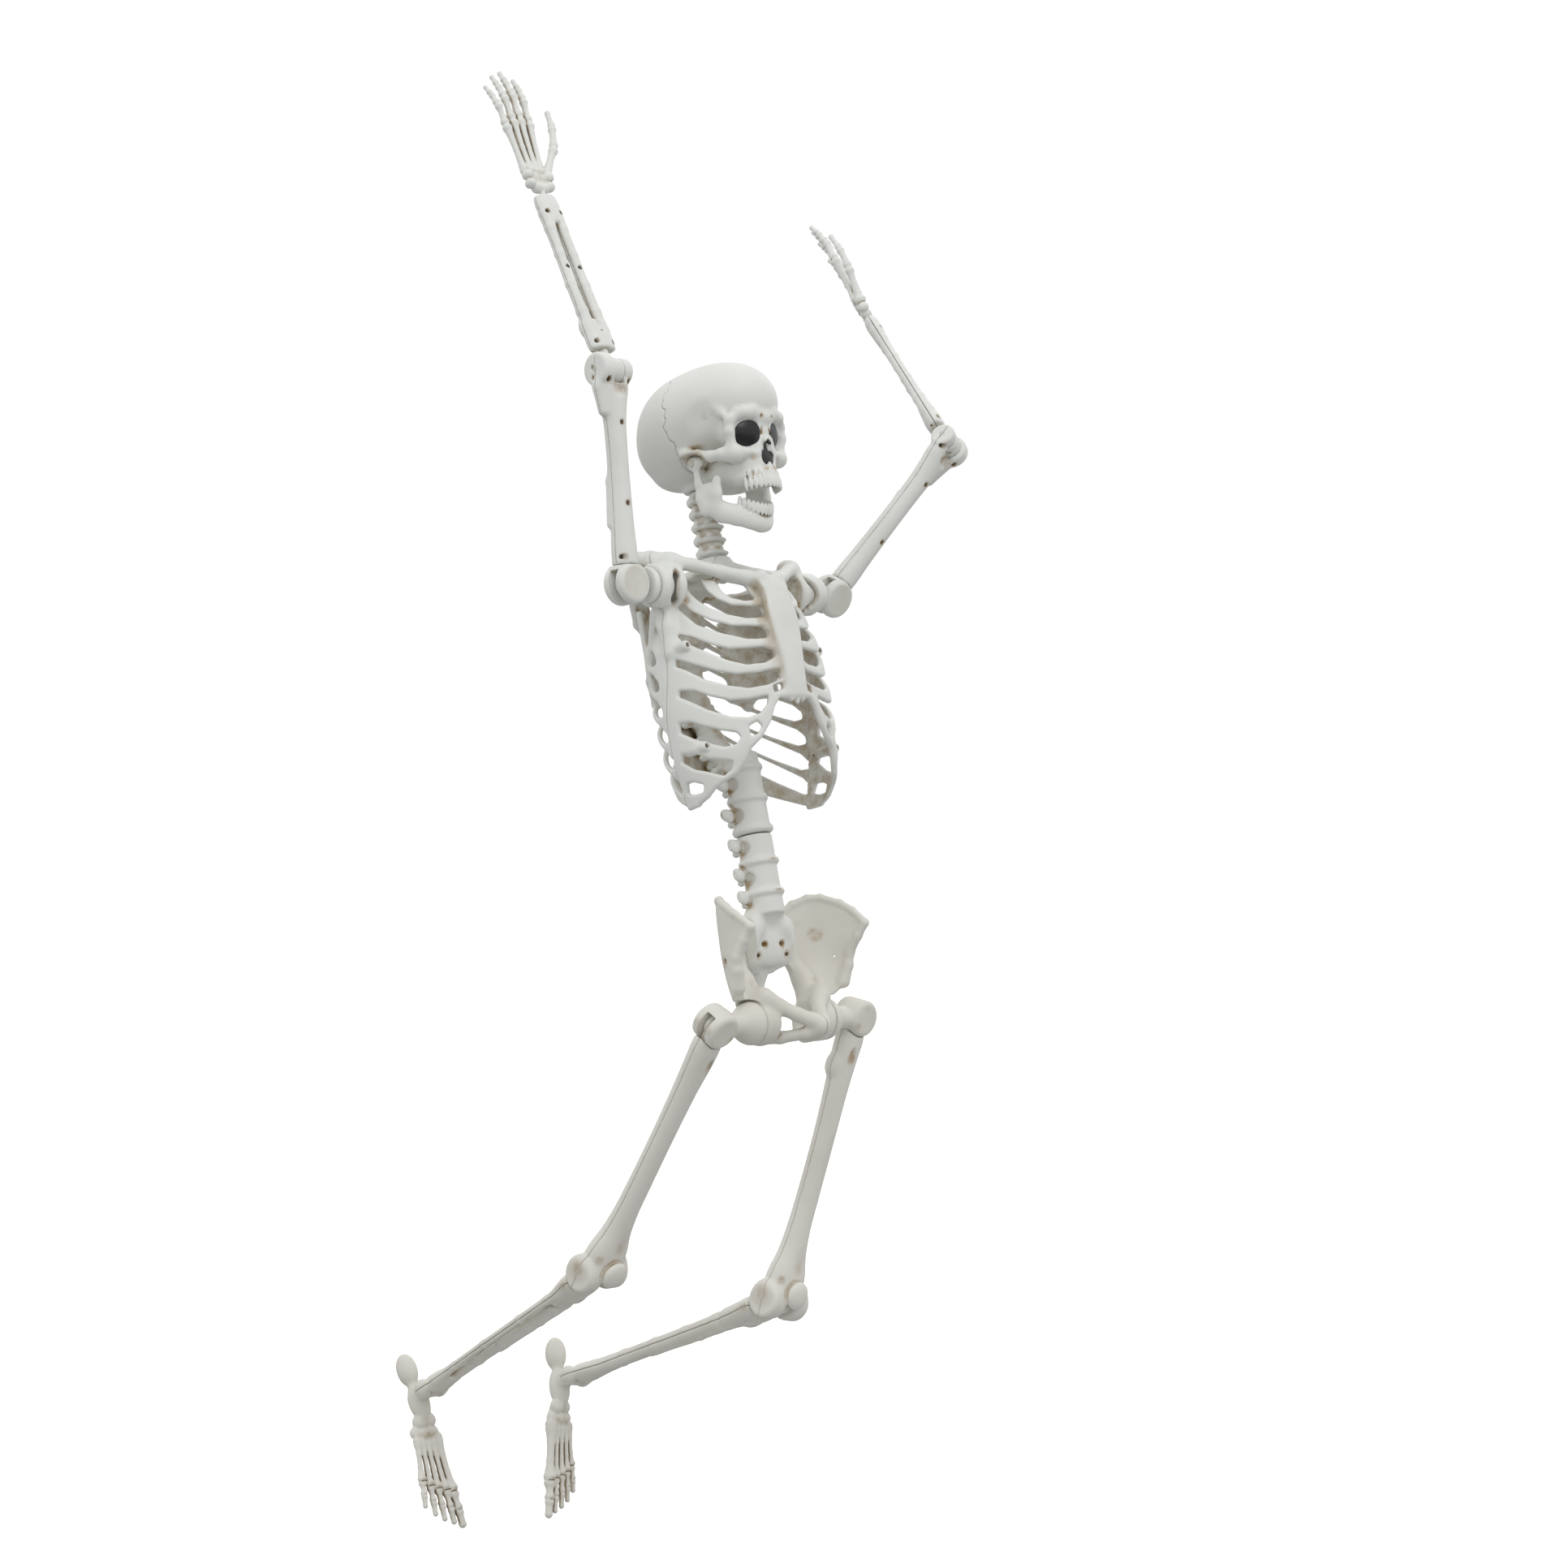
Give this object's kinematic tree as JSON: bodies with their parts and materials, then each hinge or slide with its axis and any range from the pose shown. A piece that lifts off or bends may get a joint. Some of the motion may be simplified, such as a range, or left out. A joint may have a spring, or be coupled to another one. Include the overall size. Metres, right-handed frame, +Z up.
{
  "type": "halloween skeleton figure",
  "caption": "Life-style posable plastic skeleton figure with moulded shell bones, turning and hinged joints, held up at its neck with its arms raised.",
  "frame": {"origin": "centre of the neck's foot, where the neck column meets the rib cage", "axes": "figure faces -Y, its left is +X, +Z is up; the torso leans back about X at rest, as stored"},
  "size_m": [0.6128, 0.5924, 1.7651],
  "materials": {
    "bone": "off-white matte moulded plastic with a faint tan wash in the recesses",
    "bone_legs": "off-white matte moulded plastic, a little warmer",
    "insert_black": "glossy black",
    "screw_metal": "darkened steel",
    "pin_metal": "off-white matte plastic pin"
  },
  "bodies": {
    "torso": {"rib_cage_front": "bone", "rib_cage_rear": "bone", "rib_cage_screws": "screw_metal", "lumbar_spine": "bone"},
    "neck": {"neck": "bone"},
    "skull": {"skull_front": "bone", "skull_rear": "bone", "skull_screws": "screw_metal", "face_inserts": "insert_black", "jaw_pins": "pin_metal"},
    "jaw": {"jaw": "bone"},
    "pelvis": {"sacrum": "bone", "hip_bone_left": "bone_legs", "hip_bone_right": "bone_legs"},
    "shoulder_hub_left": {"shoulder_hub_left": "bone"},
    "shoulder_knuckle_left": {"shoulder_knuckle_left": "bone", "shoulder_pin_left": "pin_metal"},
    "upper_arm_left": {"upper_arm_front_left": "bone", "upper_arm_rear_left": "bone", "upper_arm_screws_left": "screw_metal", "elbow_pin_left": "pin_metal"},
    "elbow_hub_left": {"elbow_hub_left": "bone"},
    "forearm_left": {"forearm_front_left": "bone", "forearm_rear_left": "bone", "forearm_screws_left": "screw_metal"},
    "hand_left": {"hand_left": "bone"},
    "hip_hub_left": {"hip_hub_left": "bone_legs", "hip_pin_left": "pin_metal"},
    "thigh_left": {"thigh_front_left": "bone_legs", "thigh_rear_left": "bone_legs", "thigh_screws_left": "screw_metal", "knee_pin_left": "pin_metal"},
    "shin_left": {"shin_front_left": "bone_legs", "shin_rear_left": "bone_legs", "shin_screws_left": "screw_metal"},
    "foot_left": {"foot_left": "bone_legs"},
    "shoulder_hub_right": {"shoulder_hub_right": "bone"},
    "shoulder_knuckle_right": {"shoulder_knuckle_right": "bone", "shoulder_pin_right": "pin_metal"},
    "upper_arm_right": {"upper_arm_front_right": "bone", "upper_arm_rear_right": "bone", "upper_arm_screws_right": "screw_metal", "elbow_pin_right": "pin_metal"},
    "elbow_hub_right": {"elbow_hub_right": "bone"},
    "forearm_right": {"forearm_front_right": "bone", "forearm_rear_right": "bone", "forearm_screws_right": "screw_metal"},
    "hand_right": {"hand_right": "bone"},
    "hip_hub_right": {"hip_hub_right": "bone_legs", "hip_pin_right": "pin_metal"},
    "thigh_right": {"thigh_front_right": "bone_legs", "thigh_rear_right": "bone_legs", "thigh_screws_right": "screw_metal", "knee_pin_right": "pin_metal"},
    "shin_right": {"shin_front_right": "bone_legs", "shin_rear_right": "bone_legs", "shin_screws_right": "screw_metal"},
    "foot_right": {"foot_right": "bone_legs"}
  },
  "joints": [
    {"name": "neck_turn", "type": "hinge", "parent": "torso", "child": "neck", "pos_m": [0, 0, 0], "axis": [0, 0.2419, 0.9703], "range_deg": [-55, 55]},
    {"name": "head_turn", "type": "hinge", "parent": "neck", "child": "skull", "pos_m": [0, 0.02032, 0.0815], "axis": [0, 0.2419, 0.9703], "range_deg": [-40, 40]},
    {"name": "jaw_open", "type": "hinge", "parent": "skull", "child": "jaw", "pos_m": [0.00188, -0.00972, 0.10961], "axis": [0.9986, 0.0508, -0.0127], "range_deg": [-6, 16]},
    {"name": "waist_turn", "type": "hinge", "parent": "torso", "child": "pelvis", "pos_m": [0, -0.06722, -0.32747], "axis": [0, 0.2419, 0.9703], "range_deg": [-35, 35]},
    {"name": "shoulder_swing_left", "type": "hinge", "parent": "torso", "child": "shoulder_hub_left", "pos_m": [0.174, -0.03199, -0.03737], "axis": [-1, 0, 0], "range_deg": [-142, 30]},
    {"name": "shoulder_spread_left", "type": "hinge", "parent": "shoulder_hub_left", "child": "shoulder_knuckle_left", "pos_m": [0.174, -0.03199, -0.03737], "axis": [0, 0.9455, 0.3256], "range_deg": [-35, 50]},
    {"name": "upper_arm_twist_left", "type": "hinge", "parent": "shoulder_knuckle_left", "child": "upper_arm_left", "pos_m": [0.174, -0.03199, -0.03737], "axis": [-0.5736, 0.2667, -0.7745], "range_deg": [-75, 75]},
    {"name": "elbow_bend_left", "type": "hinge", "parent": "upper_arm_left", "child": "elbow_hub_left", "pos_m": [0.31625, -0.09813, 0.15471], "axis": [-0.813, -0.3006, 0.4986], "range_deg": [-62, 48]},
    {"name": "forearm_twist_left", "type": "hinge", "parent": "elbow_hub_left", "child": "forearm_left", "pos_m": [0.31625, -0.09813, 0.15471], "axis": [-0.1811, -0.6833, -0.7073], "range_deg": [-75, 75]},
    {"name": "wrist_turn_left", "type": "hinge", "parent": "forearm_left", "child": "hand_left", "pos_m": [0.36262, 0.0768, 0.33578], "axis": [-0.1811, -0.6833, -0.7073], "range_deg": [-80, 80]},
    {"name": "hip_swing_left", "type": "hinge", "parent": "pelvis", "child": "hip_hub_left", "pos_m": [0.12392, -0.11672, -0.54392], "axis": [-0.9994, -0.0339, 0.0084], "range_deg": [-30, 114]},
    {"name": "thigh_spread_left", "type": "hinge", "parent": "hip_hub_left", "child": "thigh_left", "pos_m": [0.12392, -0.11672, -0.54392], "axis": [0.0319, -0.9843, -0.1738], "range_deg": [-3, 46]},
    {"name": "knee_bend_left", "type": "hinge", "parent": "thigh_left", "child": "shin_left", "pos_m": [0.0523, -0.05941, -0.88168], "axis": [0.9783, 0.0663, -0.1962], "range_deg": [-58, 37]},
    {"name": "ankle_bend_left", "type": "hinge", "parent": "shin_left", "child": "foot_left", "pos_m": [0.0076, 0.24468, -1.00181], "axis": [0.9783, 0.0663, -0.1962], "range_deg": [-24, 31]},
    {"name": "shoulder_swing_right", "type": "hinge", "parent": "torso", "child": "shoulder_hub_right", "pos_m": [-0.174, -0.03199, -0.03737], "axis": [1, 0, 0], "range_deg": [-15, 167]},
    {"name": "shoulder_spread_right", "type": "hinge", "parent": "shoulder_hub_right", "child": "shoulder_knuckle_right", "pos_m": [-0.174, -0.03199, -0.03737], "axis": [0, -0.9945, 0.1045], "range_deg": [0, 85]},
    {"name": "upper_arm_twist_right", "type": "hinge", "parent": "shoulder_knuckle_right", "child": "upper_arm_right", "pos_m": [-0.174, -0.03199, -0.03737], "axis": [0, -0.1045, -0.9945], "range_deg": [-75, 75]},
    {"name": "elbow_bend_right", "type": "hinge", "parent": "upper_arm_right", "child": "elbow_hub_right", "pos_m": [-0.174, -0.00607, 0.20927], "axis": [-1, 0, 0], "range_deg": [-22, 88]},
    {"name": "forearm_twist_right", "type": "hinge", "parent": "elbow_hub_right", "child": "forearm_right", "pos_m": [-0.174, -0.00607, 0.20927], "axis": [0, -0.4695, -0.8829], "range_deg": [-75, 75]},
    {"name": "wrist_turn_right", "type": "hinge", "parent": "forearm_right", "child": "hand_right", "pos_m": [-0.174, 0.11412, 0.4353], "axis": [0, -0.4695, -0.8829], "range_deg": [-80, 80]},
    {"name": "hip_swing_right", "type": "hinge", "parent": "pelvis", "child": "hip_hub_right", "pos_m": [-0.12392, -0.12512, -0.54182], "axis": [0.9994, 0.0339, -0.0084], "range_deg": [-136, 8]},
    {"name": "thigh_spread_right", "type": "hinge", "parent": "hip_hub_right", "child": "thigh_right", "pos_m": [-0.12392, -0.12512, -0.54182], "axis": [-0.0242, 0.8476, 0.53], "range_deg": [-4, 35]},
    {"name": "knee_bend_right", "type": "hinge", "parent": "thigh_right", "child": "shin_right", "pos_m": [-0.13271, 0.0602, -0.8386], "axis": [0.9994, 0.0339, -0.0084], "range_deg": [-27, 68]},
    {"name": "ankle_bend_right", "type": "hinge", "parent": "shin_right", "child": "foot_right", "pos_m": [-0.14372, 0.34288, -1.00852], "axis": [0.9994, 0.0339, -0.0084], "range_deg": [-24, 31]}
  ]
}
